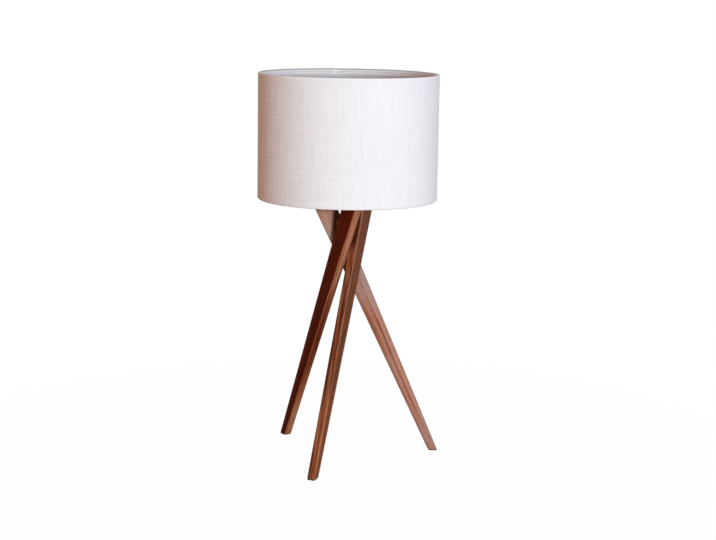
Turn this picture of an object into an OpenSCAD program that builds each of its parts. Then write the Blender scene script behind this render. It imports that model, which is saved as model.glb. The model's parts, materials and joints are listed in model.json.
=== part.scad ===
// Tripod table lamp: three tapered walnut boards cross at a waist around a small hub, a threaded tube
// rises from the hub to a lampholder, and a linen drum shade turns on the lampholder's seat.
// The origin is on the lamp's axis at table level, +Z up.

/* [Legs] */
// Height at which the centre lines of the legs cross
waist_z = 348.4; // [260:1:440]
// Sideways distance of each foot from its crossing
leg_run = 156.9; // [120:1:200]
// Thickness of a leg board, towards the axis
leg_t = 14.1; // [11:0.1:20]
// Width of a leg board at the foot
leg_w_foot = 14.1; // [10:0.1:22]
// Width of a leg board at its top
leg_w_top = 36.2; // [26:0.1:46]
// How far the legs reach up inside the shade
leg_into_shade = 9; // [4:0.5:14]
// Chamfer along a leg's long edges
leg_edge = 1; // [0.4:0.1:2]
// Thickness of the felt pad under each foot
pad_t = 1.5; // [1:0.1:3]
// Felt kept back from the foot's outline
pad_inset = 0.8; // [0.4:0.1:2]

/* [Hub] */
// Height of the hub above the waist
hub_above = 56; // [40:1:66]
// Wood kept under the lower dowels
hub_under = 3.5; // [2:0.5:6]
// Wood kept around the nut's pocket
hub_wall = 2.2; // [1.5:0.1:4]
// Rounded off at the hub's corners
hub_corner = 2; // [1:0.1:4]
// Diameter of a leg dowel
dowel_d = 5; // [4:0.5:6]
// Length of a dowel inside the hub
dowel_in_hub = 4.5; // [3:0.5:5]
// Wood left over a dowel in the leg
dowel_cover = 5; // [3:0.5:7]

/* [Stem] */
// Diameter of the threaded tube
stem_d = 10; // [8:0.5:12]
// Wall of the threaded tube
stem_wall = 1; // [0.7:0.1:1.4]
// Wall of the round nut around the tube
nut_wall = 2; // [1.5:0.1:3]
// Thickness of the round nut
nut_t = 4; // [2.5:0.5:6]
// Thickness of the cord bushing's flange
bush_flange_t = 1.6; // [1:0.1:3]
// Length of the cord bushing inside the tube
bush_in = 8; // [5:0.5:12]
// Wall of the cord bushing
bush_wall = 0.8; // [0.6:0.1:1.4]
// Thickness of the washer on the hub
washer_t = 1.5; // [1:0.1:3]
// Wall of the sleeve around the tube
sleeve_wall = 1.4; // [1:0.1:2]

/* [Lampholder] */
// Outer diameter of the lampholder's cap
cap_d = 40; // [38:0.5:44]
// Height of the cap above its neck
cap_h = 26; // [22:0.5:30]
// Wall of the cap
cap_wall = 1.5; // [1:0.1:2]
// Thickness of the cap's floor
cap_floor = 2; // [1.5:0.1:3]
// Length of the neck that grips the tube
neck_h = 8; // [6:0.5:10]
// Wall of the neck
neck_wall = 2.9; // [2.4:0.1:3.4]
// Space between the leg tops and the cap
cap_lift = 2; // [1:0.5:6]
// Height of the skirt above its flange
skirt_h = 30; // [28:0.5:36]
// Wall of the skirt
skirt_wall = 1.5; // [1:0.1:1.8]
// Thickness of the flange that carries the shade
flange_t = 2; // [1.5:0.1:3]
// Reach of the flange and the shade ring under and over the shade's ring
grip_reach = 3.5; // [2:0.5:5]
// Height of the shade ring
ring_h = 6; // [4:0.5:9]
// Grip notches around the shade ring
ring_notches = 16; // [10:1:24]
// Height of the switch block
switch_h = 14; // [13:0.5:17]
// Height of the contact block
block_h = 14; // [12:0.5:16]
// Diameter of the switch's push bar
bar_d = 4.8; // [4:0.2:5.4]
// Travel of the push bar
bar_travel = 6; // [4:0.5:8]
// Diameter of the buttons on the push bar
button_d = 7; // [6:0.5:9]
// Length of a button
button_l = 4; // [3:0.5:6]
// Diameter of a terminal screw
terminal_d = 3; // [2.5:0.5:3.5]
// Diameter of the neck's locking screw
lock_d = 3; // [2:0.5:4]

/* [Bulb] */
// Diameter of the bulb's screw cap
bulb_cap_d = 26; // [25.8:0.1:26.2]
// Length of the screw cap with its tip
bulb_cap_l = 25.5; // [24:0.5:27]
// Largest diameter of the bulb
bulb_d = 60; // [50:1:66]
// Length of the bulb
bulb_l = 104; // [98:1:120]
// Wall of the bulb's dome and housing
bulb_wall = 1.4; // [1:0.1:2]

/* [Shade] */
// Outer diameter of the shade
shade_d = 300; // [240:1:360]
// Height of the shade
shade_h = 206.8; // [190:1:260]
// Height of the shade's lower edge above the waist
shade_above_waist = 95; // [88:1:110]
// Thickness of the linen cover
cover_t = 0.8; // [0.5:0.1:1.2]
// Thickness of the stiff lining
liner_t = 0.6; // [0.4:0.1:1]
// Thickness of the turned-in hem
hem_t = 0.5; // [0.3:0.1:0.8]
// Depth of the hem on the lining
hem_h = 4.5; // [3:0.5:14]
// Diameter of the shade's wire rings
wire_d = 3.6; // [3:0.1:5]
// Diameter of the arms that carry the shade
arm_d = 3.2; // [2.8:0.1:4]
// Number of arms
arm_count = 3; // [2:1:4]
// Hole in the shade's centre ring
carrier_hole_d = 42; // [41.8:0.1:44]
// Thickness of the centre ring
carrier_t = 1.9; // [1.5:0.1:2.5]
// Width of the glued seam inside the shade
seam_w = 9; // [6:1:15]

/* [Hidden] */
$fn = 96;

// Direction in which each leg's inner face stands off the axis
RIGHT = 90;
LEFT = 210;
FRONT = 330;
// Play between a thread and its mate, between fitted parts, and between parts that turn or slide
thread_play = 0.05;
fit_play = 0.1;
run_play = 0.05;
// Play around a part that lies loose in its pocket or passes a wall freely
loose_play = 0.3;
// Room left past the end of a dowel or of the tube
end_room = 0.5;
// Overlap of a cutting tool past the face that it cuts
over = 1;

// Levels, from the table up
shade_z = waist_z + shade_above_waist;
shade_top_z = shade_z + shade_h;
leg_top_z = shade_z + leg_into_shade;
holder_z = leg_top_z + cap_lift;
neck_z = holder_z - neck_h;
seat_z = holder_z + cap_h + flange_t;
block_z = holder_z + cap_floor + switch_h;
shell_z = block_z + block_h;
skirt_top_z = seat_z + skirt_h;

// A leg leans sideways by this much for each millimetre that it rises
leg_slope = leg_run / waist_z;
leg_lean = atan(leg_slope);
function leg_shift(z) = leg_slope * (z - waist_z);
function leg_half(z) = (leg_w_foot + (leg_w_top - leg_w_foot) * z / leg_top_z) / 2 / cos(leg_lean);

// The stem's fittings share their radii
stem_r = stem_d / 2;
stem_hole_r = stem_r + fit_play;
nut_r = stem_r + nut_wall;
nut_pocket_r = nut_r + loose_play;
sleeve_r = stem_r + fit_play + sleeve_wall;
washer_rim = 2;
washer_r = sleeve_r + washer_rim;
bush_hole_r = stem_r - stem_wall - run_play - bush_wall;

// The boards touch at the corners of the hub's triangle, so their width at the waist sets its size
hub_r = max(leg_half(waist_z) / sqrt(3) + fit_play / 2, nut_pocket_r + hub_wall);
dowel_r = dowel_d / 2;
dowel_off_stem = 0.5;
dowel_side = stem_hole_r + dowel_r + dowel_off_stem;
dowel_dz = dowel_side / leg_slope;
dowel_in_leg = leg_t - dowel_cover;
hub_z = waist_z - dowel_dz - dowel_r - hub_under;
hub_top_z = waist_z + hub_above;
nut_z = hub_z + bush_flange_t;
sleeve_z = hub_top_z + washer_t;
stem_proud = 3;
stem_top_z = holder_z + cap_floor + stem_proud;

// Lampholder
cap_r = cap_d / 2;
cap_in_r = cap_r - cap_wall;
neck_r = stem_r + thread_play + neck_wall;
skirt_step = 0.5;
skirt_r = cap_r - skirt_step;
skirt_in_r = skirt_r - skirt_wall;
insert_gap = 1;
insert_r = skirt_in_r - insert_gap;
spigot_h = 4;
spigot_in_r = insert_r + fit_play;
bar_r = bar_d / 2;
bar_below_block = 5;
bar_z = block_z - bar_below_block;
stem_recess_h = stem_proud + end_room;
mouth_play = 1.6;
mouth_r = bulb_cap_d / 2 + mouth_play;
lip_t = 1.5;
notch_r = 1.8;
notch_depth = 0.8;
// A screw's slot
slot_w = 0.6;
slot_depth = 0.8;
lock_sunk = 0.2;

// Contacts, in the contact block
shell_t = 0.6;
shell_play = 0.4;
shell_in_r = bulb_cap_d / 2 + shell_play;
shell_r = shell_in_r + shell_t;
shell_floor_in_r = 8;
shell_top_z = skirt_top_z - lip_t - fit_play;
strip_t = 0.6;
strip_w = 5;
shell_strip_r = 11.5;
centre_strip_r = 6;
terminal_z = block_z + block_h / 2;
terminal_r = terminal_d / 2;
terminal_head_r = terminal_r + 0.9;
terminal_head_t = 2;
terminal_head_sunk = 4;
terminal_head_x = insert_r - terminal_head_sunk + fit_play;
terminal_tip_x = 4.5;
strip_low_z = terminal_z - terminal_head_r - 0.9;
wire_hole_r = 3;
wire_hole_h = 3;
TERMINALS = [60, 240];
tongue_rise = 3;
tongue_half = 2.5;
tongue_bend = 0.3;

// Bulb, from the tip up
tip_z = shell_z + tongue_rise + strip_t + fit_play;
tip_t = 1.6;
tip_r = 4.6;
insulator_t = 2.6;
insulator_r = 9.5;
bulb_r = bulb_d / 2;
bulb_top_z = tip_z + bulb_l;
cap_top_z = tip_z + bulb_cap_l;
bulb_cap_r = bulb_cap_d / 2;
globe_z = bulb_top_z - bulb_r;
split_below = 12.9;
split_z = globe_z - split_below;
split_r = sqrt(pow(bulb_r, 2) - pow(split_below, 2));
collar_step = 0.6;
collar_r = bulb_cap_r + collar_step;
bulb_cap_t = 0.4;
housing_in = 5;
board_t = 1.6;
driver_w = 14;
driver_t = 1.2;
driver_in = 12;

// Shade
shade_r = shade_d / 2;
liner_r = shade_r - cover_t;
inside_r = liner_r - liner_t;
wire_r = wire_d / 2;
wrap_r = wire_r + hem_t + run_play;
wire_ring_r = inside_r - wrap_r;
bottom_wire_z = shade_z + wrap_r;
top_wire_z = shade_top_z - wrap_r;
carrier_hole_r = carrier_hole_d / 2;
seat_r = carrier_hole_r - run_play;
flange_r = carrier_hole_r + grip_reach;
ring_step = 1;
ring_r = flange_r + ring_step;
carrier_rim = 4.5;
carrier_r = flange_r + carrier_rim;
carrier_z = seat_z + run_play;
carrier_mid_z = carrier_z + carrier_t / 2;
shade_ring_z = seat_z + carrier_t + 2 * run_play + fit_play / 2;
arm_r = arm_d / 2;
arm_in_ring = 1.5;
arm_start_r = carrier_r - arm_in_ring;
// Directions of the first arm and of the shade's seam
FIRST_ARM = 30;
SEAM = 92;

module tube(r_out, r_in, h) {
  difference() {
    cylinder(r = r_out, h = h);
    translate([0, 0, -over]) cylinder(r = r_in, h = h + 2 * over);
  }
}

// A round rod between two points of the plane that holds the axis
module rod(from, to, r) {
  run = to[0] - from[0];
  rise = to[1] - from[1];
  translate([from[0], 0, from[1]]) rotate([0, atan2(run, rise), 0]) cylinder(r = r, h = norm([run, rise]));
}

// Legs

module dowel_shapes(angle, r, in_hub, in_leg) {
  for (side = [-1, 1])
    rotate([0, 0, angle])
      translate([hub_r - in_hub, side * dowel_side, waist_z + side * dowel_dz])
        rotate([0, 90, 0]) cylinder(r = r, h = in_hub + in_leg);
}

// The wedge taken off one long edge of a board
module edge_cut(side, face_x) {
  low = leg_shift(0) + side * leg_half(0);
  high = leg_shift(leg_top_z) + side * leg_half(leg_top_z);
  tilt = atan((high - low) / leg_top_z);
  width = leg_edge * sqrt(2);
  past_end = leg_w_top;
  translate([face_x, low, 0]) rotate([-tilt, 0, 0]) rotate([0, 0, 45])
    translate([-width / 2, -width / 2, -past_end])
      cube([width, width, leg_top_z / cos(tilt) + 2 * past_end]);
}

module leg(angle) {
  ends = [pad_t, leg_top_z];
  difference() {
    rotate([0, 0, angle]) difference() {
      translate([hub_r, 0, 0]) rotate([90, 0, 90]) linear_extrude(leg_t)
        polygon([
          [leg_shift(ends[0]) - leg_half(ends[0]), ends[0]],
          [leg_shift(ends[0]) + leg_half(ends[0]), ends[0]],
          [leg_shift(ends[1]) + leg_half(ends[1]), ends[1]],
          [leg_shift(ends[1]) - leg_half(ends[1]), ends[1]]
        ]);
      for (side = [-1, 1], face_x = [hub_r, hub_r + leg_t]) edge_cut(side, face_x);
    }
    dowel_shapes(angle, dowel_r + fit_play / 2, over, dowel_in_leg + end_room);
  }
}

module foot_pad(angle) {
  long = 2 * leg_half(0) - 2 * pad_inset;
  rotate([0, 0, angle])
    translate([hub_r + pad_inset, leg_shift(0) - long / 2, 0])
      cube([leg_t - 2 * pad_inset, long, pad_t]);
}

module leg_right() { color("sienna") leg(RIGHT); }
module leg_left() { color("saddlebrown") leg(LEFT); }
module leg_front() { color("sienna") leg(FRONT); }
module foot_pad_right() { color("dimgray") foot_pad(RIGHT); }
module foot_pad_left() { color("dimgray") foot_pad(LEFT); }
module foot_pad_front() { color("dimgray") foot_pad(FRONT); }

// Hub and stem

module leg_hub() {
  color("saddlebrown")
    difference() {
      translate([0, 0, hub_z]) intersection() {
        rotate([0, 0, 30]) cylinder(r = 2 * hub_r, h = hub_top_z - hub_z, $fn = 3);
        cylinder(r = 2 * hub_r - hub_corner, h = hub_top_z - hub_z);
      }
      translate([0, 0, hub_z - over]) cylinder(r = stem_hole_r, h = hub_top_z - hub_z + 2 * over);
      translate([0, 0, hub_z - over]) cylinder(r = nut_pocket_r, h = over + bush_flange_t + nut_t);
      for (angle = [RIGHT, LEFT, FRONT])
        dowel_shapes(angle, dowel_r + fit_play / 2, dowel_in_hub + end_room, over);
    }
}

module hub_dowels() {
  color("burlywood")
    for (angle = [RIGHT, LEFT, FRONT]) dowel_shapes(angle, dowel_r, dowel_in_hub, dowel_in_leg);
}

module hub_nut() {
  color("goldenrod")
    translate([0, 0, nut_z]) tube(nut_r, stem_r + thread_play, nut_t);
}

module cord_bushing() {
  color("black")
    translate([0, 0, hub_z]) difference() {
      union() {
        cylinder(r = nut_r, h = bush_flange_t);
        cylinder(r = bush_hole_r + bush_wall, h = bush_flange_t + bush_in);
      }
      translate([0, 0, -over]) cylinder(r = bush_hole_r, h = bush_flange_t + bush_in + 2 * over);
    }
}

module stem_tube() {
  color("silver")
    translate([0, 0, nut_z]) tube(stem_r, stem_r - stem_wall, stem_top_z - nut_z);
}

module hub_washer() {
  color("goldenrod")
    translate([0, 0, hub_top_z]) tube(washer_r, stem_hole_r, washer_t);
}

module stem_sleeve() {
  color("goldenrod")
    translate([0, 0, sleeve_z]) tube(sleeve_r, stem_hole_r, neck_z - sleeve_z);
}

// Lampholder

module holder_cap() {
  color("dimgray")
    difference() {
      union() {
        translate([0, 0, holder_z]) cylinder(r = cap_r, h = cap_h);
        translate([0, 0, neck_z]) cylinder(r = neck_r, h = neck_h + cap_floor);
      }
      translate([0, 0, holder_z + cap_floor]) cylinder(r = cap_in_r, h = cap_h);
      translate([0, 0, neck_z - over]) cylinder(r = stem_r + thread_play, h = neck_h + cap_floor + 2 * over);
      translate([-cap_d, 0, bar_z]) rotate([0, 90, 0]) cylinder(r = bar_r + fit_play, h = 2 * cap_d);
      translate([0, 0, neck_z + neck_h / 2]) rotate([-90, 0, 0])
        cylinder(r = lock_d / 2 + thread_play, h = cap_d);
    }
}

// The driver's slot across a screw's end
module screw_slot(d, end_z) {
  translate([-d, -slot_w / 2, end_z - slot_depth]) cube([2 * d, slot_w, slot_depth + over]);
}

module neck_lock_screw() {
  color("silver")
    translate([0, stem_r + thread_play, neck_z + neck_h / 2]) rotate([-90, 0, 0])
      difference() {
        cylinder(r = lock_d / 2, h = neck_wall - lock_sunk);
        screw_slot(lock_d, neck_wall - lock_sunk);
      }
}

module switch_block() {
  color("gray")
    translate([0, 0, holder_z + cap_floor]) difference() {
      cylinder(r = cap_in_r - fit_play, h = switch_h);
      translate([0, 0, -over]) cylinder(r = neck_r, h = stem_recess_h + over);
      translate([-cap_d, 0, bar_z - holder_z - cap_floor]) rotate([0, 90, 0])
        cylinder(r = bar_r + fit_play, h = 2 * cap_d);
    }
}

module contact_block() {
  color("gainsboro")
    difference() {
      translate([0, 0, block_z]) cylinder(r = insert_r, h = block_h);
      for (angle = TERMINALS) rotate([0, 0, angle]) {
        translate([0, 0, terminal_z]) rotate([0, 90, 0]) cylinder(r = terminal_r + thread_play, h = insert_r);
        translate([insert_r - terminal_head_sunk, 0, terminal_z]) rotate([0, 90, 0])
          cylinder(r = terminal_head_r + loose_play, h = insert_r);
      }
      translate([0, 0, block_z - over]) cylinder(r = wire_hole_r, h = wire_hole_h + over);
      strip_slot(TERMINALS[0], shell_strip_r);
      strip_slot(TERMINALS[1], centre_strip_r);
    }
}

module strip_slot(angle, r) {
  rotate([0, 0, angle])
    translate([r - fit_play, -strip_w / 2 - fit_play, strip_low_z - fit_play])
      cube([strip_t + 2 * fit_play, strip_w + 2 * fit_play, block_h]);
}

// A contact strip that stands in its slot and is pierced by its terminal screw
module strip(angle, r) {
  rotate([0, 0, angle])
    difference() {
      translate([r, -strip_w / 2, strip_low_z]) cube([strip_t, strip_w, shell_z - strip_low_z]);
      translate([r - over, 0, terminal_z]) rotate([0, 90, 0])
        cylinder(r = terminal_r + fit_play, h = strip_t + 2 * over);
    }
}

module terminal_screws() {
  color("goldenrod")
    for (angle = TERMINALS) rotate([0, 0, angle]) translate([0, 0, terminal_z]) rotate([0, 90, 0])
      difference() {
        union() {
          translate([0, 0, terminal_tip_x]) cylinder(r = terminal_r, h = terminal_head_x - terminal_tip_x);
          translate([0, 0, terminal_head_x]) cylinder(r = terminal_head_r, h = terminal_head_t);
        }
        screw_slot(terminal_d, terminal_head_x + terminal_head_t);
      }
}

module shell_contact() {
  color("goldenrod") strip(TERMINALS[0], shell_strip_r);
}

// The centre contact's strip ends in a tongue that rises to the bulb's tip
module centre_contact() {
  reach = centre_strip_r + strip_t;
  color("goldenrod") {
    strip(TERMINALS[1], centre_strip_r);
    rotate([0, 0, TERMINALS[1]]) translate([0, strip_w / 2, shell_z]) rotate([90, 0, 0])
      linear_extrude(strip_w) polygon([
        [reach, 0],
        [reach, strip_t],
        [tongue_half, tongue_rise + strip_t],
        [-tongue_half, tongue_rise + strip_t],
        [-tongue_half, tongue_rise],
        [tongue_half - tongue_bend, tongue_rise],
        [reach - strip_t, 0]
      ]);
  }
}

module screw_shell() {
  color("goldenrod")
    translate([0, 0, shell_z]) {
      tube(shell_r, shell_in_r, shell_top_z - shell_z);
      tube(shell_r, shell_floor_in_r, shell_t);
    }
}

module holder_skirt() {
  color("dimgray") {
    translate([0, 0, seat_z - flange_t - spigot_h])
      tube(cap_in_r - fit_play, spigot_in_r, spigot_h + flange_t);
    translate([0, 0, seat_z - flange_t]) tube(flange_r, spigot_in_r, flange_t);
    translate([0, 0, seat_z]) tube(seat_r, skirt_in_r, shade_ring_z - seat_z);
    translate([0, 0, seat_z - flange_t]) tube(skirt_r, skirt_in_r, flange_t + skirt_h);
    translate([0, 0, skirt_top_z - lip_t]) tube(skirt_r, mouth_r, lip_t);
  }
}

module shade_ring() {
  color("dimgray")
    translate([0, 0, shade_ring_z]) difference() {
      tube(ring_r, skirt_r + thread_play, ring_h);
      for (i = [0:ring_notches - 1]) rotate([0, 0, i * 360 / ring_notches])
        translate([ring_r + notch_r - notch_depth, 0, -over]) cylinder(r = notch_r, h = ring_h + 2 * over);
    }
}

module push_bar() {
  left_x = -cap_r - loose_play;
  right_x = cap_r + loose_play + bar_travel;
  color("black")
    translate([0, 0, bar_z]) rotate([0, 90, 0]) {
      translate([0, 0, left_x]) cylinder(r = bar_r, h = right_x - left_x);
      translate([0, 0, left_x - button_l]) cylinder(r = button_d / 2, h = button_l);
      translate([0, 0, right_x]) cylinder(r = button_d / 2, h = button_l);
    }
}

// Shade

module wire_ring(r, z) {
  translate([0, 0, z]) rotate_extrude() translate([r, 0]) circle(r = wire_r, $fn = 32);
}

module shade_arms(r, from_r) {
  for (i = [0:arm_count - 1]) rotate([0, 0, FIRST_ARM + i * 360 / arm_count])
    rod([from_r, carrier_mid_z], [wire_ring_r, bottom_wire_z], r);
}

module shade_frame() {
  color("whitesmoke") {
    difference() {
      union() {
        translate([0, 0, carrier_z]) cylinder(r = carrier_r, h = carrier_t);
        shade_arms(arm_r, arm_start_r);
      }
      translate([0, 0, carrier_z - over]) cylinder(r = carrier_hole_r, h = carrier_t + 2 * over);
    }
    wire_ring(wire_ring_r, bottom_wire_z);
  }
}

module shade_top_ring() { color("whitesmoke") wire_ring(wire_ring_r, top_wire_z); }

module shade_cover() {
  color("linen") translate([0, 0, shade_z]) tube(shade_r, liner_r, shade_h);
}

module shade_liner() {
  color("white") translate([0, 0, shade_z]) tube(liner_r, inside_r, shade_h);
}

// A hem wraps a wire ring and its edge lies flat on the lining, below (-1) or above (1) the wire
module hem(wire_z, side) {
  tail_z = side < 0 ? -wrap_r - hem_h : 0;
  translate([0, 0, wire_z]) rotate_extrude() difference() {
    union() {
      translate([wire_ring_r, 0]) circle(r = wrap_r, $fn = 32);
      translate([inside_r - hem_t, tail_z]) square([hem_t, wrap_r + hem_h]);
    }
    translate([wire_ring_r, 0]) circle(r = wire_r + run_play, $fn = 32);
  }
}

module shade_top_hem() { color("linen") hem(top_wire_z, -1); }

module shade_bottom_hem() {
  color("linen") difference() {
    hem(bottom_wire_z, 1);
    shade_arms(arm_r + loose_play, arm_start_r);
  }
}

module shade_seam() {
  turn = 2 * asin(seam_w / 2 / inside_r);
  low_z = bottom_wire_z + wrap_r + hem_h;
  color("white") rotate([0, 0, SEAM - turn / 2]) translate([0, 0, low_z])
    rotate_extrude(angle = turn) translate([inside_r - hem_t, 0])
      square([hem_t - fit_play, top_wire_z - wrap_r - hem_h - low_z]);
}

// Bulb

module bulb_contact() {
  color("silver") translate([0, 0, tip_z]) cylinder(r1 = tip_r - 1, r2 = tip_r, h = tip_t);
}

module bulb_insulator() {
  color("black") translate([0, 0, tip_z + tip_t]) cylinder(r1 = tip_r, r2 = insulator_r, h = insulator_t);
}

module bulb_cap() {
  low_z = tip_z + tip_t + insulator_t;
  color("silver") difference() {
    translate([0, 0, low_z]) cylinder(r = bulb_cap_r, h = cap_top_z - low_z);
    translate([0, 0, low_z + bulb_cap_t]) cylinder(r = bulb_cap_r - bulb_cap_t, h = bulb_cap_l);
  }
}

module bulb_housing() {
  neck_out_r = bulb_cap_r - bulb_cap_t - fit_play;
  neck_in_r = bulb_cap_r - bulb_cap_t - bulb_wall;
  cone_h = split_z - cap_top_z;
  color("white") difference() {
    union() {
      translate([0, 0, cap_top_z]) cylinder(r1 = collar_r, r2 = split_r, h = cone_h);
      translate([0, 0, cap_top_z - housing_in]) cylinder(r = neck_out_r, h = housing_in + fit_play);
    }
    translate([0, 0, cap_top_z]) cylinder(r1 = collar_r - bulb_wall, r2 = split_r - bulb_wall, h = cone_h);
    translate([0, 0, cap_top_z - housing_in - over]) cylinder(r = neck_in_r, h = housing_in + 3 * over);
    translate([0, 0, split_z - board_t]) cylinder(r = split_r - bulb_wall + fit_play, h = 2 * board_t);
  }
}

module bulb_driver() {
  low_z = cap_top_z - driver_in;
  color("seagreen") translate([-driver_w / 2, -driver_t / 2, low_z])
    cube([driver_w, driver_t, split_z - board_t - low_z]);
}

module led_board() {
  color("gainsboro") translate([0, 0, split_z - board_t]) cylinder(r = split_r - bulb_wall, h = board_t);
}

module bulb_dome() {
  color("white") intersection() {
    difference() {
      translate([0, 0, globe_z]) sphere(r = bulb_r);
      translate([0, 0, globe_z]) sphere(r = bulb_r - bulb_wall);
    }
    translate([0, 0, split_z]) cylinder(r = bulb_d, h = bulb_l);
  }
}

leg_right();
leg_left();
leg_front();
foot_pad_right();
foot_pad_left();
foot_pad_front();
leg_hub();
hub_dowels();
hub_nut();
cord_bushing();
stem_tube();
hub_washer();
stem_sleeve();
holder_cap();
neck_lock_screw();
switch_block();
contact_block();
terminal_screws();
centre_contact();
shell_contact();
screw_shell();
holder_skirt();
shade_ring();
push_bar();
shade_frame();
shade_top_ring();
shade_cover();
shade_liner();
shade_top_hem();
shade_bottom_hem();
shade_seam();
bulb_contact();
bulb_insulator();
bulb_cap();
bulb_driver();
bulb_housing();
led_board();
bulb_dome();
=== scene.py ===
# %% [markdown]
# # A tripod table lamp
#
# Three tapered walnut boards cross at a waist and carry a linen drum shade. The moving frame, with every
# screw, wire and tube at its real size, comes ready made. This lesson gives it its looks: rounded walnut
# boards, a cover of slubby linen turned in over two wire rings, a satin lining, brass, black moulded
# plastic, and an opal bulb in a rolled thread.
#
# The frame's own shapes are never changed. A part either gets a better material, or a finer mesh stands
# in for it.

# %% Load the frame
import json
import math

import bmesh
import bpy
from mathutils import Matrix, Vector


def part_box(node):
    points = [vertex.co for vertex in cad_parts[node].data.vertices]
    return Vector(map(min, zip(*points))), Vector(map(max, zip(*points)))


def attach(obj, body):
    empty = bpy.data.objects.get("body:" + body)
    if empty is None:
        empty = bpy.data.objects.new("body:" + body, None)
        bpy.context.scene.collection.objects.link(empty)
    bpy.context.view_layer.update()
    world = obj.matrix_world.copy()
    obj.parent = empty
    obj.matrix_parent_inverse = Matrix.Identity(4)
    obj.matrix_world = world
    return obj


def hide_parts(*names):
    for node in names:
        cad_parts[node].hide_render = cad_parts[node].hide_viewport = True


MM = 0.001

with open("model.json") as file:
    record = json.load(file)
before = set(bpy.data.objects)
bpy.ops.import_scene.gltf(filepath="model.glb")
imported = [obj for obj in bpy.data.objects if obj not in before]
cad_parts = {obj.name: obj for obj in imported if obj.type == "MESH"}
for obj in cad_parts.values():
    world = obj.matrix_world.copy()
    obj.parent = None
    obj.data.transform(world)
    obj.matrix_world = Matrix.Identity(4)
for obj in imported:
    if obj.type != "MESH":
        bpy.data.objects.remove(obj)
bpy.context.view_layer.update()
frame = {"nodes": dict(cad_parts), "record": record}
nodes = frame["nodes"]

# %% [markdown]
# ## Camera
#
# The picture was taken from a little above the shade's middle, from the lamp's front and slightly to its
# left, with a long lens. The lens, distance and tilt below were worked out by fitting a pinhole camera to
# the shade's rims and the edges of the legs. A camera is simplest to place by a target point, an azimuth
# and an elevation, and the small roll is a turn about the camera's own axis.

# %% Camera
AIM = Vector((19.9, -2.0, 320.85)) * MM
AZIMUTH = math.radians(-5.8)
ELEVATION = math.radians(10.07)
DISTANCE = 2693.6 * MM
ROLL = math.radians(0.9)
LENS_MM = 80.27
SENSOR_MM = 36.0


def direction(azimuth, elevation):
    """A unit vector away from the lamp; azimuth 0 is in front of it."""
    level = math.cos(elevation)
    return Vector((math.sin(azimuth) * level, -math.cos(azimuth) * level, math.sin(elevation)))


back = direction(AZIMUTH, ELEVATION)
level_view = (-back).to_track_quat("-Z", "Y")
camera = bpy.data.objects.new("camera", bpy.data.cameras.new("camera"))
bpy.context.scene.collection.objects.link(camera)
camera.data.lens = LENS_MM
camera.data.sensor_width = SENSOR_MM
camera.location = AIM + back * DISTANCE
camera.rotation_mode = "QUATERNION"
camera.rotation_quaternion = level_view @ Matrix.Rotation(ROLL, 3, "Z").to_quaternion()
bpy.context.scene.camera = camera
print("camera at", [round(x, 3) for x in camera.location])

# %% [markdown]
# ## Shader maths in plain Python
#
# A material in Blender is a graph of nodes. Wiring Math nodes by hand is slow to read, so a socket is
# wrapped in a small class whose operators add the nodes. `1 - mask` and `mask * 0.3 + 0.2` then mean what
# they say.

# %% A socket that does arithmetic
class Wire:
    """One output of a node, which can be added, multiplied, compared and raised to a power."""

    def __init__(self, tree, socket):
        self.tree = tree
        self.socket = socket

    def maths(self, operation, *values):
        node = self.tree.nodes.new("ShaderNodeMath")
        node.operation = operation
        for slot, value in zip(node.inputs, values):
            plug(self.tree, slot, value)
        return Wire(self.tree, node.outputs[0])

    def __add__(self, other):
        return self.maths("ADD", self, other)

    def __sub__(self, other):
        return self.maths("SUBTRACT", self, other)

    def __rsub__(self, other):
        return self.maths("SUBTRACT", other, self)

    def __mul__(self, other):
        return self.maths("MULTIPLY", self, other)

    def __pow__(self, other):
        return self.maths("POWER", self, other)

    def __gt__(self, other):
        return self.maths("GREATER_THAN", self, other)

    def __abs__(self):
        return self.maths("ABSOLUTE", self)

    __radd__ = __add__

    def larger(self, other):
        return self.maths("MAXIMUM", self, other)

    def angle_over(self, x):
        """The angle whose tangent is this over x, all the way round."""
        return self.maths("ARCTAN2", self, x)


def plug(tree, slot, value):
    """Puts a link or a plain value into a node's input."""
    if isinstance(value, Wire):
        tree.links.new(value.socket, slot)
    elif slot.type == "RGBA" and len(value) == 3:
        slot.default_value = (*value, 1.0)
    else:
        slot.default_value = value


def mixed(tree, factor, a, b):
    """The colour a where the factor is 0 and b where it is 1."""
    node = tree.nodes.new("ShaderNodeMix")
    node.data_type = "RGBA"
    plug(tree, node.inputs["Factor"], factor)
    plug(tree, node.inputs[6], a)
    plug(tree, node.inputs[7], b)
    return Wire(tree, node.outputs[2])


print("shader maths ready")

# %% [markdown]
# A finish is a material with one Principled shader. Its `node` method adds any other node: the settings
# come first, and then the values or links of its inputs, by their names.

# %% A finish
def srgb(red, green, blue):
    """A screen colour, given from 0 to 255, as the linear values that a shader wants."""
    def linear(c):
        c /= 255
        return c / 12.92 if c <= 0.04045 else ((c + 0.055) / 1.055) ** 2.4
    return (linear(red), linear(green), linear(blue))


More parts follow.
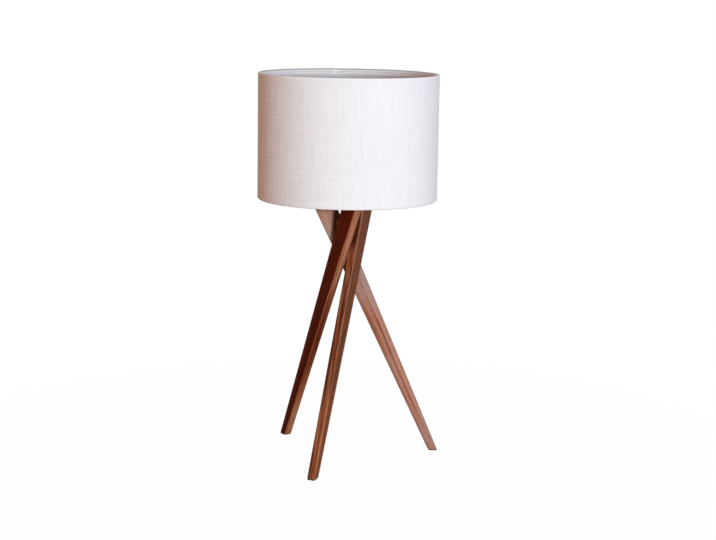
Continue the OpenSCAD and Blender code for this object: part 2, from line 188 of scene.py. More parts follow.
class Finish:
    """A procedural material, built around one Principled shader."""

    def __init__(self, name, **constants):
        self.material = bpy.data.materials.new(name)
        self.material.use_nodes = True
        self.tree = self.material.node_tree
        self.shader = self.tree.nodes["Principled BSDF"]
        self.feed(**constants)

    def feed(self, **inputs):
        for name, value in inputs.items():
            plug(self.tree, self.shader.inputs[name.replace("_", " ")], value)

    def node(self, kind, settings=None, output=0, **inputs):
        node = self.tree.nodes.new("ShaderNode" + kind)
        for name, value in (settings or {}).items():
            setattr(node, name, value)
        for name, value in inputs.items():
            plug(self.tree, node.inputs[name.replace("_", " ")], value)
        return Wire(self.tree, node.outputs[output])

    def place(self):
        """The point being shaded, in metres in the frame of the body that it rides on."""
        return self.node("TexCoord", output="Object")

    def split(self, vector):
        node = self.tree.nodes.new("ShaderNodeSeparateXYZ")
        plug(self.tree, node.inputs[0], vector)
        return [Wire(self.tree, out) for out in node.outputs]

    def off_axis(self):
        """How far the point being shaded lies from the lamp's upright axis."""
        x, y = self.split(self.place())[:2]
        return (x * x + y * y) ** 0.5

    def turned(self, vector, axis, angle):
        return self.node("VectorRotate", {"rotation_type": axis + "_AXIS"}, Vector=vector, Angle=angle)

    def noise(self, vector, scale, detail=2.0, roughness=0.5):
        return self.node("TexNoise", Vector=vector, Scale=scale, Detail=detail, Roughness=roughness)

    def stretched(self, point, scales, detail=2.0, roughness=0.5):
        """Noise with a scale of its own in each direction."""
        x, y, z = (value * scale for value, scale in zip(point, scales))
        return self.noise(self.node("CombineXYZ", X=x, Y=y, Z=z), 1.0, detail, roughness)

    def ramp(self, value, *stops):
        """A colour ramp through (place, colour) stops."""
        node = self.tree.nodes.new("ShaderNodeValToRGB")
        marks = node.color_ramp.elements
        while len(marks) < len(stops):
            marks.new(0.5)
        for mark, (place, colour) in zip(marks, stops):
            mark.position = place
            mark.color = (*colour, 1.0)
        plug(self.tree, node.inputs[0], value)
        return Wire(self.tree, node.outputs[0])

    def remap(self, value, low, high, to_low, to_high):
        ends = {"From_Min": low, "From_Max": high, "To_Min": to_low, "To_Max": to_high}
        return self.node("MapRange", Value=value, **ends)

    def blend(self, factor, a, b):
        return mixed(self.tree, factor, a, b)

    def bump(self, height, distance, strength):
        return self.node("Bump", Height=height, Distance=distance, Strength=strength)


print("finish helper ready")

# %% [markdown]
# ## The boards' sizes
#
# Each leg is a flat board whose width tapers from the top to the foot. It stands on a thin felt pad and
# leans sideways, so that the three boards pass each other at the waist. The sizes are the frame's own. They
# come first, because the walnut's finish also follows the boards' edges.

# %% Sizes of the boards
WAIST_Z = 348.4 * MM
LEG_RUN = 156.9 * MM
LEG_THICK = 14.1 * MM
FOOT_WIDTH = 14.1 * MM
TOP_WIDTH = 36.2 * MM
PAD_THICK = 1.5 * MM
EASED_EDGE = 1.7 * MM
LEG_TOP_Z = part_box("leg_right")[1].z
INNER_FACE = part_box("leg_right")[0].y
OUTER_FACE = INNER_FACE + LEG_THICK
MIDDLE = INNER_FACE + LEG_THICK / 2
LEG_SLOPE = LEG_RUN / WAIST_Z
LEG_LEAN = math.atan(LEG_SLOPE)


def half_width(height):
    """Half of a board's width at a height, which is a number or a wire."""
    return height * ((TOP_WIDTH - FOOT_WIDTH) / 2 / LEG_TOP_Z) + FOOT_WIDTH / 2


print("a board leans", round(math.degrees(LEG_LEAN), 1), "degrees")

# %% [markdown]
# ## Walnut
#
# A walnut board shows three things at once: broad bands where the saw cut the growth rings, long dark
# fibres, and short open pores. The log's heart lay to one side of each board, so a point's distance from
# that heart picks its ring. All of it is stretched along the board, so the shaded point is first turned
# into the board's own directions: through its thickness, across its width and along its length.
#
# Each board gets its own patch of the log. Its outer face is darker, in streaky heartwood colours: painted
# shade, for the faces turned from the light. The other faces are greyer in streaks, most of all on the
# right leg, and more so towards the top. Three long arrises are darkened with painted shade; the fourth, on
# the outer face, is painted pale, partly as wear and partly as a highlight. A painted shadow fills the
# narrow space where the boards pass each other, and painted shade darkens their upper ends under the shade.
# Oil leaves walnut nearly matt, so its specular level is low.

# %% Walnut finish
WALNUT_DEEP = srgb(66, 27, 15)
WALNUT_DARK = srgb(120, 58, 29)
WALNUT_MID = srgb(168, 97, 62)
WALNUT_PALE = srgb(194, 138, 108)
WALNUT_GREY = srgb(180, 147, 138)

# How fine each pattern is, in cells per metre through a board, across it and along it
SWAY = (12, 12, 5)
STREAKS = (230, 230, 4)
FIBRES = (900, 900, 16)
PORES = (2400, 2400, 90)
CLOUDS = (25, 25, 11)
# The same for the rings, outwards from the heart and along the board, and how far off the heart lay
RINGS = (420, 2.5, 1)
HEART_BEHIND = 45 * MM
HEART_BESIDE = 12 * MM
RING_SWAY = 16 * MM


def grain(finish, thick, wide, along):
    """The patterns of the log at a point in it: rings, streaks, fibres, pores and clouds."""
    point = (thick, wide, along)
    sway = finish.stretched(point, SWAY, detail=1.0) * RING_SWAY
    heart = ((thick + HEART_BEHIND) ** 2 + (wide + HEART_BESIDE) ** 2) ** 0.5 + sway
    rings = finish.stretched((heart, along, 0.0), RINGS, detail=2.5, roughness=0.55)
    streaks = finish.stretched(point, STREAKS, detail=1.5)
    fibres = finish.stretched(point, FIBRES, detail=3.0, roughness=0.6)
    pores = finish.stretched(point, PORES, detail=1.0)
    clouds = finish.stretched(point, CLOUDS, detail=2.0)
    return rings, streaks, fibres, pores, clouds


def arrises(finish, depth, across, height, pale_side):
    """How near the board's long arrises are, from 0 to 1: the one painted pale and the other three."""
    off_middle = across + WAIST_Z * math.sin(LEG_LEAN)
    to_side = half_width(height) - abs(off_middle)
    to_face = LEG_THICK / 2 - abs(depth - MIDDLE)
    near = finish.remap(to_side + to_face, 0.3 * MM, 2.0 * MM, 1.0, 0.0)
    rubbed_and_lit = near * (depth > MIDDLE) * (off_middle * pale_side > 0.0)
    return rubbed_and_lit, near - rubbed_and_lit


def painted_crossing_shadow(finish, depth, height):
    """How far a point lies in the narrow space where the boards pass each other, from 0 to 1: a painted
    shadow.
    """
    near_axis = finish.remap(finish.off_axis(), 22 * MM, 27 * MM, 1.0, 0.0)
    under_face = finish.remap(depth, OUTER_FACE - 3 * MM, OUTER_FACE - 0.5 * MM, 1.0, 0.0)
    over_waist = finish.remap(height, WAIST_Z + 4 * MM, WAIST_Z + 22 * MM, 0.0, 1.0)
    return near_axis * under_face * over_waist


def shaded_outer_face(finish, colour, depth, pattern, shaded_heartwood):
    """The colour with the board's outer face darker in streaky heartwood colours: painted shade."""
    darker = tuple(c * 0.45 for c in shaded_heartwood)
    lighter = tuple(c * 1.3 for c in shaded_heartwood)
    streaked = finish.blend(finish.remap(pattern, 0.82, 1.18, 0.0, 1.0), darker, lighter)
    outside = finish.remap(depth, OUTER_FACE - 0.6 * MM, OUTER_FACE - 0.2 * MM, 0.0, 1.0)
    return finish.blend(outside, colour, streaked)


def wear_and_shade(finish, colour, depth, across, height, fibres, pale_side):
    """The colour with painted shade on three arrises and the fourth painted pale, and painted shade near
    the crossing and under the shade.
    """
    rubbed_and_lit, arris_shade = arrises(finish, depth, across, height, pale_side)
    # Painted shade on three arrises; the fourth is painted pale, partly wear and partly a painted
    # highlight, less so near the top.
    colour = finish.blend(arris_shade * 0.7, colour, WALNUT_DEEP)
    under_shade = finish.remap(height, LEG_TOP_Z - 85 * MM, LEG_TOP_Z - 40 * MM, 1.0, 0.25)
    colour = finish.blend(rubbed_and_lit * under_shade * (0.3 + fibres * 0.6), colour, WALNUT_PALE)
    # A painted shadow where the boards pass each other.
    crossing_shadow = painted_crossing_shadow(finish, depth, height) * 0.9
    # Painted shade on the boards' upper ends, under the shade.
    top_shade = finish.remap(height, LEG_TOP_Z - 55 * MM, LEG_TOP_Z - 5 * MM, 0.0, 0.2)
    return finish.blend(crossing_shadow.larger(top_shade), colour, WALNUT_DEEP)


def walnut(name, patch, angle=0, lean=0.0, tone=0.0, grey=0.0, shaded_heartwood=None, pale_side=0):
    """Walnut whose grain runs along a board; a leg's painted shade and wear come with its shaded
    heartwood's colour.
    """
    finish = Finish(name, Specular_IOR_Level=0.02)
    spun = finish.turned(finish.place(), "Z", -math.radians(angle))
    height = finish.split(spun)[2]
    depth, across, length = finish.split(finish.turned(spun, "X", lean))
    in_log = (depth + patch[0], across + patch[1], length + patch[2])
    rings, streaks, fibres, pores, clouds = grain(finish, *in_log)

    tones = rings * 0.5 + fibres * 0.25 + clouds * 0.12 + streaks * 0.3 + tone - 0.08
    stops = ((0.36, WALNUT_DEEP), (0.45, WALNUT_DARK), (0.53, WALNUT_MID), (0.64, WALNUT_PALE))
    colour = finish.ramp(tones, *stops)
    # Greyer in streaks, and more so towards the top.
    upper = finish.remap(height, 0.1, 0.5, 0.75, 1.25)
    in_streaks = finish.remap(streaks * 0.6 + fibres * 0.4, 0.42, 0.58, 0.5, 1.5)
    greyed = finish.remap(clouds, 0.4, 0.72, 0.3 * grey, grey + 0.2) * upper * in_streaks
    colour = finish.blend(greyed, colour, WALNUT_GREY)
    # The outer face, darker in heartwood colours, is painted shade.
    if shaded_heartwood is not None:
        pattern = fibres * 0.4 + rings + streaks * 0.6
        colour = shaded_outer_face(finish, colour, depth, pattern, shaded_heartwood)
        colour = wear_and_shade(finish, colour, depth, across, height, fibres, pale_side)
    open_pores = finish.remap(pores, 0.62, 0.72, 0.0, 0.75)
    colour = finish.blend(open_pores, colour, WALNUT_DEEP)
    finish.feed(Base_Color=colour, Roughness=0.62 - fibres * 0.2 + open_pores * 0.2)
    finish.feed(Normal=finish.bump(fibres * 0.6 + rings * 0.4 - open_pores, 0.00022, 0.55))
    return finish.material


print("walnut's rings are about", round(1 / RINGS[0] / MM, 1), "mm wide")

# %% [markdown]
# ## Legs
#
# A board is an eight-cornered block in its own plane, and a small rounded bevel takes the knife edge off,
# as a maker's sandpaper does.

# %% Rounded boards
def new_piece(name, mesh):
    """An object made of a bmesh, which is freed."""
    data = bpy.data.meshes.new(name)
    mesh.to_mesh(data)
    mesh.free()
    piece = bpy.data.objects.new(name, data)
    bpy.context.scene.collection.objects.link(piece)
    return piece


def soften(piece, sharp_above):
    """Smooth shading, with edges sharper than an angle kept crisp."""
    polygons = piece.data.polygons
    polygons.foreach_set("use_smooth", [True] * len(polygons))
    piece.data.set_sharp_from_angle(angle=math.radians(sharp_above))


def leg_edges(z):
    """Where the two narrow sides of a board are, sideways of the axis, at a height."""
    half = half_width(z) / math.cos(LEG_LEAN)
    middle = LEG_SLOPE * (z - WAIST_Z)
    return middle - half, middle + half


def rounded_board(name, angle):
    mesh = bmesh.new()
    rings = []
    for z in (PAD_THICK, LEG_TOP_Z):
        low, high = leg_edges(z)
        corners = ((INNER_FACE, low), (OUTER_FACE, low), (OUTER_FACE, high), (INNER_FACE, high))
        rings.append([mesh.verts.new((x, y, z)) for x, y in corners])
    bottom, top = rings
    mesh.faces.new(reversed(bottom))
    mesh.faces.new(top)
    for i in range(4):
        j = (i + 1) % 4
        mesh.faces.new((bottom[i], bottom[j], top[j], top[i]))
    rounding = {"offset": EASED_EDGE, "segments": 4, "profile": 0.5, "affect": "EDGES"}
    bmesh.ops.bevel(mesh, geom=mesh.edges[:], **rounding)
    bmesh.ops.recalc_face_normals(mesh, faces=mesh.faces[:])
    mesh.transform(Matrix.Rotation(math.radians(angle), 4, "Z"))
    board = new_piece(name, mesh)
    soften(board, 40)
    return board


# %% Make the three legs
# Each board's shaded heartwood colours the painted shade on its outer face.
BOARDS = {
    "right": dict(angle=90, patch=(0.021, 0.013, 1.31), tone=0.075, grey=0.75,
                  shaded_heartwood=srgb(104, 56, 38), pale_side=1),
    "left": dict(angle=210, patch=(0.034, -0.009, 0.42), tone=0.055,
                 shaded_heartwood=srgb(99, 30, 3), pale_side=1),
    "front": dict(angle=330, patch=(0.012, 0.027, 2.2), tone=-0.055,
                  shaded_heartwood=srgb(124, 71, 47), pale_side=-1),
}

for side, looks in BOARDS.items():
    board = rounded_board("board_" + side, looks["angle"])
    board.data.materials.append(walnut("walnut_leg_" + side, lean=LEG_LEAN, **looks))
    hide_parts("leg_" + side)
    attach(board, "stand")
    print(board.name, "faces:", len(board.data.polygons))

# %% [markdown]
# ## Linen
#
# The cover is a plain weave of slubby linen: threads of uneven thickness run round the drum and up it,
# about two to the millimetre, and every so often a thick soft slub stretches for a few centimetres. The
# weave follows the drum, so the point being shaded is unrolled: the angle round the axis times the radius
# is one direction, the height the other. The unrolled strip ends at the seam, as the real cloth does.
#
# Coarser yarn comes in patches, and this length has one on its left side, where the slubs stand out more.
# Painted shade makes the cloth greyer over the top of the roll, and just inside where it folds over the
# rim.
# The glue of the lapped end has soaked through the tuck, so a narrow strip of it is glossy, and its white
# colour is a painted highlight.

# %% Linen finish
SEAM_ANGLE = math.radians(92)
SHADE_RADIUS = 150 * MM
SHADE_LOW, SHADE_HIGH = (corner.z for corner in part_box("shade_cover"))
THREAD = 0.55 * MM
THREAD_RUN = 25 * THREAD
FOLD_SHADE_DEPTH = 2.2 * MM
LAP = 9.0 * MM
COARSE_PATCH = -0.22
LINEN_PALE = srgb(252, 251, 254)
LINEN_DEEP = srgb(226, 225, 229)
LINEN_FOLD_SHADE = srgb(158, 155, 158)
GLUE_GLINT_WHITE = srgb(252, 252, 252)
# How fine the threads and slubs are, in cells per metre round the drum and up it
WARP = (1 / THREAD, 1 / THREAD_RUN, 1)
WEFT = (1 / THREAD_RUN, 1 / THREAD, 1)
UPRIGHT_SLUBS = (380, 14, 1)
LEVEL_SLUBS = (14, 420, 1)


def unroll(finish, radius):
    """Distance round the drum, from opposite the seam, and height, both in metres."""
    x, y, z = finish.split(finish.turned(finish.place(), "Z", math.pi - SEAM_ANGLE))
    return y.angle_over(x) * radius, z


def linen(name, radius):
    finish = Finish(name, Roughness=0.85, Specular_IOR_Level=0.2, Coat_Roughness=0.3)
    finish.feed(Sheen_Weight=0.06, Sheen_Roughness=0.5)
    around, up = unroll(finish, radius)
    warp = finish.stretched((around, up, 1.0), WARP, detail=1.0)
    weft = finish.stretched((around, up, 5.0), WEFT, detail=1.0)
    upright = finish.stretched((around, up, 3.0), UPRIGHT_SLUBS, roughness=0.55)
    level = finish.stretched((around, up, 7.0), LEVEL_SLUBS, roughness=0.55)
    raised = (warp + weft) * 0.7 + finish.remap(upright, 0.5, 0.75, 0.0, 0.9)
    raised = raised + finish.remap(level, 0.5, 0.75, 0.0, 0.3)
    coarse = finish.remap(abs(around - COARSE_PATCH), 0.05, 0.2, 1.0, 0.35)
    thick = finish.remap(upright * 0.5 + level * 0.4 + weft * 0.1, 0.34, 0.66, -0.5, 0.5) * coarse + 0.5

    off_edge = (SHADE_HIGH - SHADE_LOW) / 2 - abs(up - (SHADE_HIGH + SHADE_LOW) / 2)
    inside = finish.remap(finish.off_axis(), radius - 1.6 * MM, radius - 0.8 * MM, 1.0, 0.0)
    # Painted shade over the top of the roll and just inside the fold.
    rim = finish.remap(off_edge, -0.4 * MM, 0.1 * MM, 1.0, 0.0)
    fold_shade = rim.larger(finish.remap(off_edge, 0.7 * MM, FOLD_SHADE_DEPTH, 1.0, 0.0) * inside)
    colour = finish.blend(fold_shade, finish.blend(thick, LINEN_PALE, LINEN_DEEP), LINEN_FOLD_SHADE)

    # The lapped strip is glossy with glue; its white colour is a painted highlight.
    past_seam = around + math.pi * radius
    lapped = finish.remap(past_seam, LAP, LAP + 0.3 * MM, 1.0, 0.0)
    glue_and_glint = finish.remap(past_seam, 0.0, LAP * 0.6, 0.0, 1.0) * lapped * inside * (1 - fold_shade)
    colour = finish.blend(glue_and_glint, colour, GLUE_GLINT_WHITE)
    finish.feed(Base_Color=colour, Coat_Weight=glue_and_glint, Normal=finish.bump(raised, 0.0003, 0.5))
    return finish.material


LINEN = linen("linen", SHADE_RADIUS)
print("linen threads per millimetre:", round(MM / THREAD, 1))

# %% [markdown]
# ## The cover
#
# The real cover is one strip of linen, glued round the lining. Its long edges are rolled over the wire
# rings and tucked back inside, and its ends lap over each other at the seam. So its section is one line: up
# inside from the lower tuck, round the lower wire, up the outside, over the upper wire and down to the
# upper tuck. That line is swept round the axis a little more than once, and the last stretch rides up over
# the first.

# %% Sheet of linen
WIRE_LOW, WIRE_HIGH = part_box("shade_top_ring")
WIRE_RADIUS = (WIRE_HIGH.z - WIRE_LOW.z) / 2
WIRE_RING = (WIRE_HIGH.x - WIRE_LOW.x) / 2 - WIRE_RADIUS
WIRE_DROP = SHADE_HIGH - (WIRE_LOW.z + WIRE_HIGH.z) / 2
LINING_THICK = 0.6 * MM
CLOTH = 0.6 * MM
FACE_RADIUS = SHADE_RADIUS - CLOTH / 2
TUCK_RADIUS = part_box("shade_liner")[1].x - LINING_THICK - CLOTH / 2
TUCK_DEPTH = 9.2 * MM
RIM_CORNER = 1.2 * MM
OVER_LINING = CLOTH / 2 + 0.05 * MM
LAP_RISE = 0.55 * MM
LAP_CLIMB = 0.05
FACE_STEPS = 16
SHEET_STEPS = 288
# How far the face swells out over the tuck, at two depths under the edge
SWELLS = ((0.10 * MM, -6.0 * MM), (0.22 * MM, -3.2 * MM))


def arc(centre, radius, start, stop, steps):
    """Points on a circle in the plane of the axis, by angles in degrees from straight out."""
    out = []
    for i in range(steps + 1):
        a = math.radians(start + (stop - start) * i / steps)
        out.append((centre[0] + radius * math.cos(a), centre[1] + radius * math.sin(a)))
    return out


def rolled_edge():
    """The section over a wire from face to tuck, as (radius, height over the shade's edge)."""
    wrap = WIRE_RADIUS + CLOTH / 2
    under_wire = -WIRE_DROP - wrap
    points = [(FACE_RADIUS + out, height) for out, height in SWELLS]
    points += arc((FACE_RADIUS - RIM_CORNER, OVER_LINING - RIM_CORNER), RIM_CORNER, 0, 90, 5)
    points += arc((WIRE_RING, -WIRE_DROP), wrap, 95, 250, 10)
    points += [(TUCK_RADIUS - 0.5 * MM, under_wire - 0.2 * MM)]
    points += [(TUCK_RADIUS, under_wire - 1.4 * MM), (TUCK_RADIUS, -TUCK_DEPTH)]
    return points


def cover_section():
    """The whole section, from the lower tuck's end to the upper one's."""
    top = [(r, SHADE_HIGH + height) for r, height in rolled_edge()]
    bottom = [(r, SHADE_LOW - height) for r, height in reversed(rolled_edge())]
    low, high = bottom[-1][1], top[0][1]
    shares = [(i + 0.5) / FACE_STEPS for i in range(FACE_STEPS)]
    return bottom + [(FACE_RADIUS, low + (high - low) * share) for share in shares] + top


def smooth_step(value):
    """0 below 0, 1 above 1, and an S-shaped rise between."""
    value = min(1.0, max(0.0, value))
    return value * value * (3 - 2 * value)


def lapped_sheet(name, section):
    """The section swept once round and a lap further, where it rides up over its own start."""
    around = 2 * math.pi + LAP / SHADE_RADIUS
    mesh = bmesh.new()
    columns = []
    for i in range(SHEET_STEPS + 1):
        turn = around * i / SHEET_STEPS
        lift = LAP_RISE * smooth_step((turn - (2 * math.pi - LAP_CLIMB)) / LAP_CLIMB)
        a = SEAM_ANGLE + turn
        lifted = [(r + (lift if r > WIRE_RING else -lift), z) for r, z in section]
        columns.append([mesh.verts.new((r * math.cos(a), r * math.sin(a), z)) for r, z in lifted])
    for left, right in zip(columns, columns[1:]):
        for j in range(len(section) - 1):
            mesh.faces.new((left[j], right[j], right[j + 1], left[j + 1]))
    return new_piece(name, mesh)


def give_thickness(piece, thickness):
    """Thickens a sheet by half to each side."""
    solid = piece.modifiers.new("sheet", "SOLIDIFY")
    solid.thickness = thickness
    solid.offset = 0.0
    bpy.context.view_layer.objects.active = piece
    piece.select_set(True)
    bpy.ops.object.modifier_apply(modifier="sheet")
    piece.select_set(False)


section = cover_section()
cover = lapped_sheet("linen_cover", section)
give_thickness(cover, CLOTH)
soften(cover, 50)
cover.data.materials.append(LINEN)
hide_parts("shade_cover", "shade_top_hem", "shade_bottom_hem")
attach(cover, "shade")

# %% [markdown]
# ## Lining, felt, metal and plastic
#
# The lining is a thin satin film, so it is smooth, slightly grey and a little glossy. Felt is matt with a
# fuzzy surface. Turned brass and steel carry fine rings from the lathe. Moulded plastic, glazed clay and
# paint have a faint orange-peel texture, and so has the dowels' planed beech.

# %% Plain finishes
def lining_film():
    finish = Finish("lining_film", Sheen_Weight=0.1)
    cloud = finish.stretched((*unroll(finish, SHADE_RADIUS), 0.0), (20, 20, 1), detail=3.0)
    colour = finish.blend(cloud, srgb(208, 212, 219), srgb(222, 225, 231))
    finish.feed(Base_Color=colour, Roughness=cloud * 0.12 + 0.42)
    finish.feed(Normal=finish.bump(finish.noise(finish.place(), 700.0), 0.00005, 0.3))
    return finish.material


def felt(name, colour):
    finish = Finish(name, Roughness=0.95, Sheen_Weight=0.4, Sheen_Roughness=0.6)
    fuzz = finish.noise(finish.place(), 1500.0, detail=3.0, roughness=0.7)
    finish.feed(Base_Color=finish.blend(fuzz, colour, tuple(c * 2.2 for c in colour)))
    finish.feed(Normal=finish.bump(fuzz, 0.0004, 0.8))
    return finish.material


def turned_metal(name, pale, deep, roughness):
    """Metal from a lathe: fine rings at each height, and clouds of handling."""
    finish = Finish(name, Metallic=1.0)
    height = finish.split(finish.place())[2]
    rings = finish.stretched((0.0, 0.0, height), (1, 1, 4200))
    cloud = finish.noise(finish.place(), 90.0, detail=3.0)
    finish.feed(Base_Color=finish.blend(cloud, deep, pale))
    finish.feed(Roughness=rings * 0.12 + cloud * 0.12 + roughness - 0.1)
    finish.feed(Normal=finish.bump(rings, 0.00003, 0.35))
    return finish.material


def moulded(name, colour, roughness, texture=0.3):
    """An even colour with a faint orange peel and a few lighter scuffs."""
    finish = Finish(name)
    peel = finish.noise(finish.place(), 1800.0, detail=2.0)
    scuff = finish.remap(finish.noise(finish.place(), 240.0, detail=4.0), 0.55, 0.75, 0.0, 0.35)
    light = tuple(min(1.0, c * 1.3 + 0.02) for c in colour)
    finish.feed(Base_Color=finish.blend(scuff, colour, light), Roughness=scuff * 0.3 + roughness)
    finish.feed(Normal=finish.bump(peel, 0.00006, texture))
    return finish.material


# One finish for each material slot of the record
FINISHES = {
    "beech": moulded("beech", srgb(196, 156, 112), 0.7),
    "felt": felt("felt", srgb(46, 38, 34)),
    "brass": turned_metal("brass", srgb(214, 178, 112), srgb(186, 146, 82), 0.32),
    "steel": turned_metal("steel", srgb(200, 200, 200), srgb(160, 162, 166), 0.36),
    "nickel": turned_metal("nickel", srgb(214, 210, 202), srgb(186, 182, 176), 0.24),
    "black_plastic": moulded("black_plastic", srgb(32, 31, 31), 0.42),
    "grey_plastic": moulded("grey_plastic", srgb(120, 120, 122), 0.5),
    "porcelain": moulded("porcelain", srgb(232, 229, 220), 0.2, texture=0.1),
    "white_wire": moulded("white_wire", srgb(232, 231, 228), 0.38, texture=0.6),
    "circuit_board": moulded("circuit_board", srgb(224, 226, 222), 0.35),
    "bulb_white": moulded("bulb_white", srgb(238, 238, 234), 0.3, texture=0.15),
    "lining": lining_film(),
    "linen": LINEN,
    "walnut": walnut("walnut_hub", patch=(0.05, 0.03, 0.7)),
}
for part in frame["record"]["subparts"]:
    node = nodes[part["node"]]
    node.data.materials.clear()
    node.data.materials.append(FINISHES[part["material_slot"]])
    soften(node, 35)

# %% [markdown]
# ## The bulb's thread
#
# The bulb's cap and the brass shell that holds it are thin sheet, rolled into the same round thread. A
# thread's crest climbs by one pitch for each turn, so the radius is a wave of the height less that climb.
# The pitch is the one that couples the bulb's lift to its turn. Both waves are in step, so the bulb turns
# out of the shell without touching it. Each piece is plain where it grips another one, and the cap's end
# draws in to the insulator.

# %% Rolled thread
THREAD_PITCH = frame["record"]["behaviour"]["couplings"][0]["ratio"] * 2 * math.pi
THREAD_DEPTH = 0.8 * MM
THREAD_ROW = 0.4 * MM
THREAD_FADE = 1.5 * MM
THREAD_SEGMENTS = 72


def climb(value, start, length):
    """0 up to start, then a straight climb to 1 over the length."""
    return min(1.0, max(0.0, (value - start) / length))


def groove(z, turn):
    """The thread's depth at a height and a share of a turn: 0 on the crest, 1 in the groove."""
    return (1 - math.cos(2 * math.pi * (z / THREAD_PITCH - turn))) / 2


def rolled_sleeve(name, floor, heights, radius_at, sheet):
    """Thin sheet round the axis: a floor between two radii, and a wall whose radius is radius_at.

    The heights are the floor's, the wall's lower end and its upper one.
    """
    shares = [j / THREAD_SEGMENTS for j in range(THREAD_SEGMENTS)]
    floor_z, low, high = heights
    rows = round((high - low) / THREAD_ROW)
    levels = [(floor_z, [r] * THREAD_SEGMENTS) for r in floor]
    for i in range(rows + 1):
        z = low + (high - low) * i / rows
        levels.append((z, [radius_at(z, share) for share in shares]))
    mesh = bmesh.new()
    rings = []
    for z, radii in levels:
        spokes = [(r, 2 * math.pi * share) for r, share in zip(radii, shares)]
        rings.append([mesh.verts.new((r * math.cos(a), r * math.sin(a), z)) for r, a in spokes])
    for lower, upper in zip(rings, rings[1:]):
        for j in range(THREAD_SEGMENTS):
            k = (j + 1) % THREAD_SEGMENTS
            mesh.faces.new((lower[j], lower[k], upper[k], upper[j]))
    piece = new_piece(name, mesh)
    give_thickness(piece, sheet)
    soften(piece, 50)
    return piece


# %% Thread the cap and the shell
CAP_LOW, CAP_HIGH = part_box("bulb_cap")
CAP_SHEET = 0.4 * MM
CAP_WALL = CAP_HIGH.x - CAP_SHEET / 2
CAP_FLOOR = (8.5 * MM, 11.2 * MM)
SHELL_LOW, SHELL_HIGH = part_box("screw_shell")
SHELL_SHEET = 0.6 * MM
SHELL_WALL = SHELL_HIGH.x - SHELL_SHEET / 2
SHELL_FLOOR = (8.3 * MM, 13.1 * MM)
FLOOR_CORNER = 0.9 * MM
CAP_END = CAP_LOW.z + FLOOR_CORNER
SHELL_END = SHELL_LOW.z + FLOOR_CORNER
THREAD_FROM = SHELL_LOW.z + 2 * MM
PLAIN_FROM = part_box("bulb_housing")[0].z - 0.5 * MM


def cap_radius(z, turn):
    threaded = 1 - climb(z, PLAIN_FROM - THREAD_FADE, THREAD_FADE)
    drawn_in = 1 - climb(z, CAP_END, THREAD_FADE)
    return CAP_WALL - THREAD_DEPTH * max(groove(z, turn) * threaded, drawn_in)


def shell_radius(z, turn):
    faded = climb(z, PLAIN_FROM - 2 * THREAD_FADE, THREAD_FADE)
    threaded = climb(z, THREAD_FROM, THREAD_FADE) - faded
    return SHELL_WALL - THREAD_DEPTH * groove(z, turn) * threaded


cap_heights = (CAP_LOW.z + CAP_SHEET / 2, CAP_END, CAP_HIGH.z)
threaded_cap = rolled_sleeve("threaded_cap", CAP_FLOOR, cap_heights, cap_radius, CAP_SHEET)
shell_heights = (SHELL_LOW.z + SHELL_SHEET / 2, SHELL_END, SHELL_HIGH.z)
threaded_shell = rolled_sleeve("threaded_shell", SHELL_FLOOR, shell_heights, shell_radius, SHELL_SHEET)
for piece, stands_for, slot, body in (
    (threaded_cap, "bulb_cap", "nickel", "bulb"),
    (threaded_shell, "screw_shell", "brass", "stand"),
):
    piece.data.materials.append(FINISHES[slot])
    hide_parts(stands_for)
    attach(piece, body)
    print(piece.name, "pitch", round(THREAD_PITCH / MM, 3), "mm; faces:", len(piece.data.polygons))

# %% [markdown]
# ## Room and light
#
# The floor is white to the camera and keeps a faint shadow near the feet; further off it is quite white, so
# that no horizon shows. The world gives a warm brown light from everywhere, as a wooden room does, and that
# is what tans the shade's left edge. The flat lights are a little blue, so that both together are white on
# a face turned to the front. The key stands low in front and a little to the right: from there it reaches
# the hem inside the far rim, over the near one. A soft light fills the left front, a bluer one the right,
# and wide ones light the top and the back.

# %% Floor
FLOOR_HALF = 60.0
FLOOR_SHARE = 0.98
FLOOR_TINT = (0.32, 0.19, 0.12)
SHADOW_REACH = 0.9


def seen_directly(tree):
    """1 for a ray from the camera, from a mirror or through glass, and 0 for one that only lights."""
    ray = tree.nodes.new("ShaderNodeLightPath").outputs
    seen = Wire(tree, ray["Is Camera Ray"])
    for kind in ("Is Glossy Ray", "Is Transmission Ray"):
        seen = seen.larger(Wire(tree, ray[kind]))
    return seen


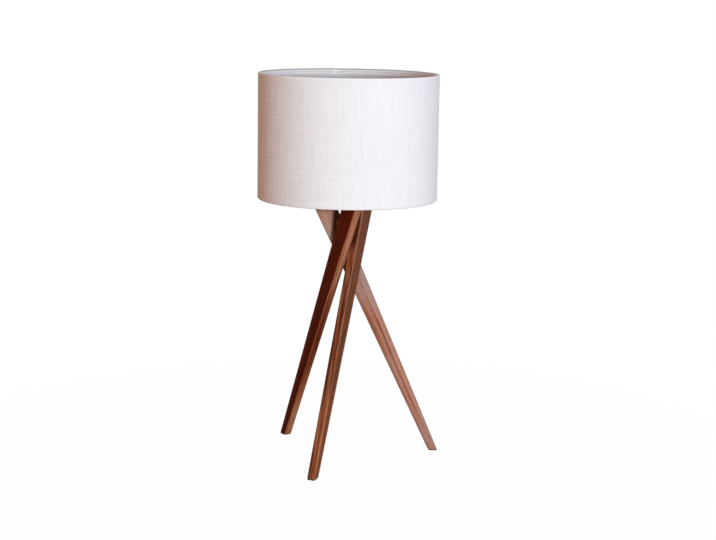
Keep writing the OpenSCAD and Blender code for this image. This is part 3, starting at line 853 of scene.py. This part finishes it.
def studio_floor():
    mesh = bmesh.new()
    bmesh.ops.create_grid(mesh, x_segments=1, y_segments=1, size=FLOOR_HALF)
    floor = new_piece("floor", mesh)
    finish = Finish("studio_white", Base_Color=FLOOR_TINT, Roughness=0.9)
    away = finish.remap(finish.off_axis(), SHADOW_REACH / 2, SHADOW_REACH, FLOOR_SHARE, 1.0)
    white = finish.tree.nodes.new("ShaderNodeEmission")
    mix = finish.tree.nodes.new("ShaderNodeMixShader")
    plug(finish.tree, mix.inputs[0], seen_directly(finish.tree) * away)
    finish.tree.links.new(finish.shader.outputs[0], mix.inputs[1])
    finish.tree.links.new(white.outputs[0], mix.inputs[2])
    finish.tree.links.new(mix.outputs[0], finish.tree.nodes["Material Output"].inputs[0])
    floor.data.materials.append(finish.material)
    return floor


floor = studio_floor()
print("floor", [round(x, 1) for x in floor.dimensions])

# %% World
AMBIENT = (0.36, 0.10, 0.0)
SKY_WHITE = (1.0, 1.0, 1.0)

world = bpy.data.worlds.new("studio")
bpy.context.scene.world = world
world.use_nodes = True
sky = world.node_tree
plug(sky, sky.nodes["Background"].inputs["Color"], mixed(sky, seen_directly(sky), AMBIENT, SKY_WHITE))
print("world light:", AMBIENT)

# %% Lights
LAMP_MIDDLE = Vector((0.0, 0.0, 0.42))


def softbox(name, azimuth, elevation, distance, width, height, level, colour):
    """A flat light aimed at the lamp; at level 1, a colour that faces it shows as written."""
    data = bpy.data.lights.new(name, "AREA")
    data.shape = "RECTANGLE"
    data.size = width
    data.size_y = height
    data.energy = level * (math.pi * distance) ** 2
    data.color = colour
    light = bpy.data.objects.new(name, data)
    bpy.context.scene.collection.objects.link(light)
    away = direction(math.radians(azimuth), math.radians(elevation))
    light.location = LAMP_MIDDLE + away * distance
    light.rotation_mode = "QUATERNION"
    light.rotation_quaternion = away.to_track_quat("Z", "Y")
    light.visible_camera = False


softbox("key", 14, 7.8, distance=2.6, width=0.5, height=0.18, level=0.775, colour=(0.71, 0.90, 1.0))
softbox("soft_left", -38, 8, distance=2.6, width=0.8, height=0.6, level=0.10, colour=(0.75, 0.97, 1.0))
softbox("cool_right", 95, 8, distance=2.6, width=1.0, height=0.6, level=0.24, colour=(0.35, 0.72, 1.0))
softbox("overhead", 0, 85, distance=2.4, width=1.2, height=1.2, level=0.45, colour=(0.7, 0.92, 1.0))
softbox("behind", 178, 9, distance=2.8, width=1.0, height=0.8, level=0.85, colour=(0.75, 0.95, 1.0))
print("lights:", [light.name for light in bpy.data.lights])

# %% [markdown]
# ## Hand over
#
# The Standard view shows a colour as it was written, so a white of 1 is white.

# %% Colours as written
bpy.context.scene.view_settings.view_transform = "Standard"
